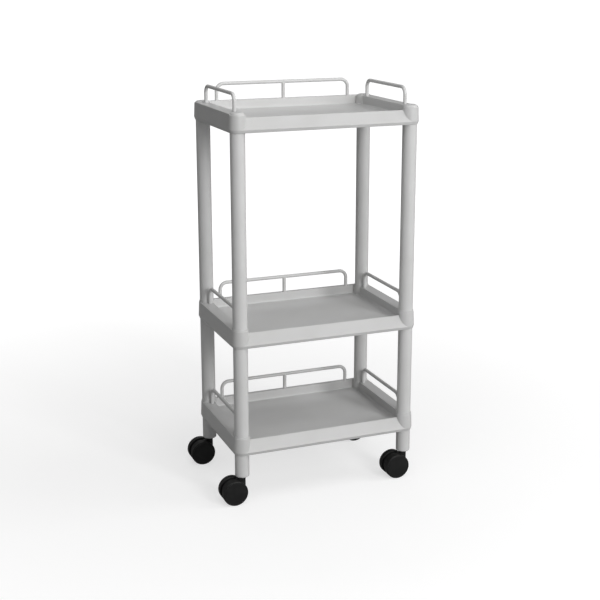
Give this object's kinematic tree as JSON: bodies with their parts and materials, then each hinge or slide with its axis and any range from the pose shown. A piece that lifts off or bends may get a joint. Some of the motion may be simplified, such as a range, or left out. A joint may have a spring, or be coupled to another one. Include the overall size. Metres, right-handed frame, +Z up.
{
  "type": "rolling salon trolley",
  "caption": "Slim rolling trolley with moulded trays on tubular posts, low wire rails round each tray, and twin-wheel swivel castors.",
  "frame": {"origin": "on the floor, under the centre of the whole trolley's bounding box", "axes": "+Z up, +X along the trays' long side towards the right-hand posts, -Y towards the open front"},
  "size_m": [0.407, 0.25, 0.7897],
  "materials": {
    "grey_plastic": "light grey moulded plastic, satin, faint grain",
    "grey_tube": "smooth light grey plastic-coated steel tube",
    "grey_wire": "light grey coated steel rod",
    "spigot_plastic": "dark grey nylon, matte",
    "castor_plastic": "black nylon, satin",
    "steel": "zinc-plated steel"
  },
  "bodies": {
    "frame": {"tray_bottom": "grey_plastic", "rail_left_bottom": "grey_wire", "rail_right_bottom": "grey_wire", "rail_back_bottom": "grey_wire", "tray_middle": "grey_plastic", "rail_left_middle": "grey_wire", "rail_right_middle": "grey_wire", "rail_back_middle": "grey_wire", "tray_top": "grey_plastic", "rail_left_top": "grey_wire", "rail_right_top": "grey_wire", "rail_back_top": "grey_wire", "post_lower_front_left": "grey_tube", "post_upper_front_left": "grey_tube", "leg_front_left": "grey_tube", "spigot_bottom_front_left": "spigot_plastic", "spigot_middle_front_left": "spigot_plastic", "spigot_top_front_left": "spigot_plastic", "castor_stem_front_left": "steel", "stem_socket_front_left": "spigot_plastic", "post_lower_front_right": "grey_tube", "post_upper_front_right": "grey_tube", "leg_front_right": "grey_tube", "spigot_bottom_front_right": "spigot_plastic", "spigot_middle_front_right": "spigot_plastic", "spigot_top_front_right": "spigot_plastic", "castor_stem_front_right": "steel", "stem_socket_front_right": "spigot_plastic", "post_lower_back_left": "grey_tube", "post_upper_back_left": "grey_tube", "leg_back_left": "grey_tube", "spigot_bottom_back_left": "spigot_plastic", "spigot_middle_back_left": "spigot_plastic", "spigot_top_back_left": "spigot_plastic", "castor_stem_back_left": "steel", "stem_socket_back_left": "spigot_plastic", "post_lower_back_right": "grey_tube", "post_upper_back_right": "grey_tube", "leg_back_right": "grey_tube", "spigot_bottom_back_right": "spigot_plastic", "spigot_middle_back_right": "spigot_plastic", "spigot_top_back_right": "spigot_plastic", "castor_stem_back_right": "steel", "stem_socket_back_right": "spigot_plastic"},
    "castor_front_left": {"castor_housing_front_left": "castor_plastic", "castor_axle_front_left": "steel"},
    "wheel_front_left_fore": {"castor_wheel_front_left_fore": "castor_plastic"},
    "wheel_front_left_aft": {"castor_wheel_front_left_aft": "castor_plastic"},
    "castor_front_right": {"castor_housing_front_right": "castor_plastic", "castor_axle_front_right": "steel"},
    "wheel_front_right_fore": {"castor_wheel_front_right_fore": "castor_plastic"},
    "wheel_front_right_aft": {"castor_wheel_front_right_aft": "castor_plastic"},
    "castor_back_left": {"castor_housing_back_left": "castor_plastic", "castor_axle_back_left": "steel"},
    "wheel_back_left_fore": {"castor_wheel_back_left_fore": "castor_plastic"},
    "wheel_back_left_aft": {"castor_wheel_back_left_aft": "castor_plastic"},
    "castor_back_right": {"castor_housing_back_right": "castor_plastic", "castor_axle_back_right": "steel"},
    "wheel_back_right_fore": {"castor_wheel_back_right_fore": "castor_plastic"},
    "wheel_back_right_aft": {"castor_wheel_back_right_aft": "castor_plastic"}
  },
  "joints": [
    {"name": "castor_front_left_swivel", "type": "hinge", "parent": "frame", "child": "castor_front_left", "pos_m": [-0.1595, -0.106, 0.045], "axis": [0, 0, 1], "continuous": true},
    {"name": "wheel_front_left_fore_spin", "type": "hinge", "parent": "castor_front_left", "child": "wheel_front_left_fore", "pos_m": [-0.1785, -0.1185, 0.025], "axis": [0, 1, 0], "continuous": true},
    {"name": "wheel_front_left_aft_spin", "type": "hinge", "parent": "castor_front_left", "child": "wheel_front_left_aft", "pos_m": [-0.1785, -0.0935, 0.025], "axis": [0, 1, 0], "continuous": true},
    {"name": "castor_front_right_swivel", "type": "hinge", "parent": "frame", "child": "castor_front_right", "pos_m": [0.1865, -0.106, 0.045], "axis": [0, 0, 1], "continuous": true},
    {"name": "wheel_front_right_fore_spin", "type": "hinge", "parent": "castor_front_right", "child": "wheel_front_right_fore", "pos_m": [0.1675, -0.1185, 0.025], "axis": [0, 1, 0], "continuous": true},
    {"name": "wheel_front_right_aft_spin", "type": "hinge", "parent": "castor_front_right", "child": "wheel_front_right_aft", "pos_m": [0.1675, -0.0935, 0.025], "axis": [0, 1, 0], "continuous": true},
    {"name": "castor_back_left_swivel", "type": "hinge", "parent": "frame", "child": "castor_back_left", "pos_m": [-0.1595, 0.106, 0.045], "axis": [0, 0, 1], "continuous": true},
    {"name": "wheel_back_left_fore_spin", "type": "hinge", "parent": "castor_back_left", "child": "wheel_back_left_fore", "pos_m": [-0.1785, 0.0935, 0.025], "axis": [0, 1, 0], "continuous": true},
    {"name": "wheel_back_left_aft_spin", "type": "hinge", "parent": "castor_back_left", "child": "wheel_back_left_aft", "pos_m": [-0.1785, 0.1185, 0.025], "axis": [0, 1, 0], "continuous": true},
    {"name": "castor_back_right_swivel", "type": "hinge", "parent": "frame", "child": "castor_back_right", "pos_m": [0.1865, 0.106, 0.045], "axis": [0, 0, 1], "continuous": true},
    {"name": "wheel_back_right_fore_spin", "type": "hinge", "parent": "castor_back_right", "child": "wheel_back_right_fore", "pos_m": [0.1675, 0.0935, 0.025], "axis": [0, 1, 0], "continuous": true},
    {"name": "wheel_back_right_aft_spin", "type": "hinge", "parent": "castor_back_right", "child": "wheel_back_right_aft", "pos_m": [0.1675, 0.1185, 0.025], "axis": [0, 1, 0], "continuous": true}
  ]
}
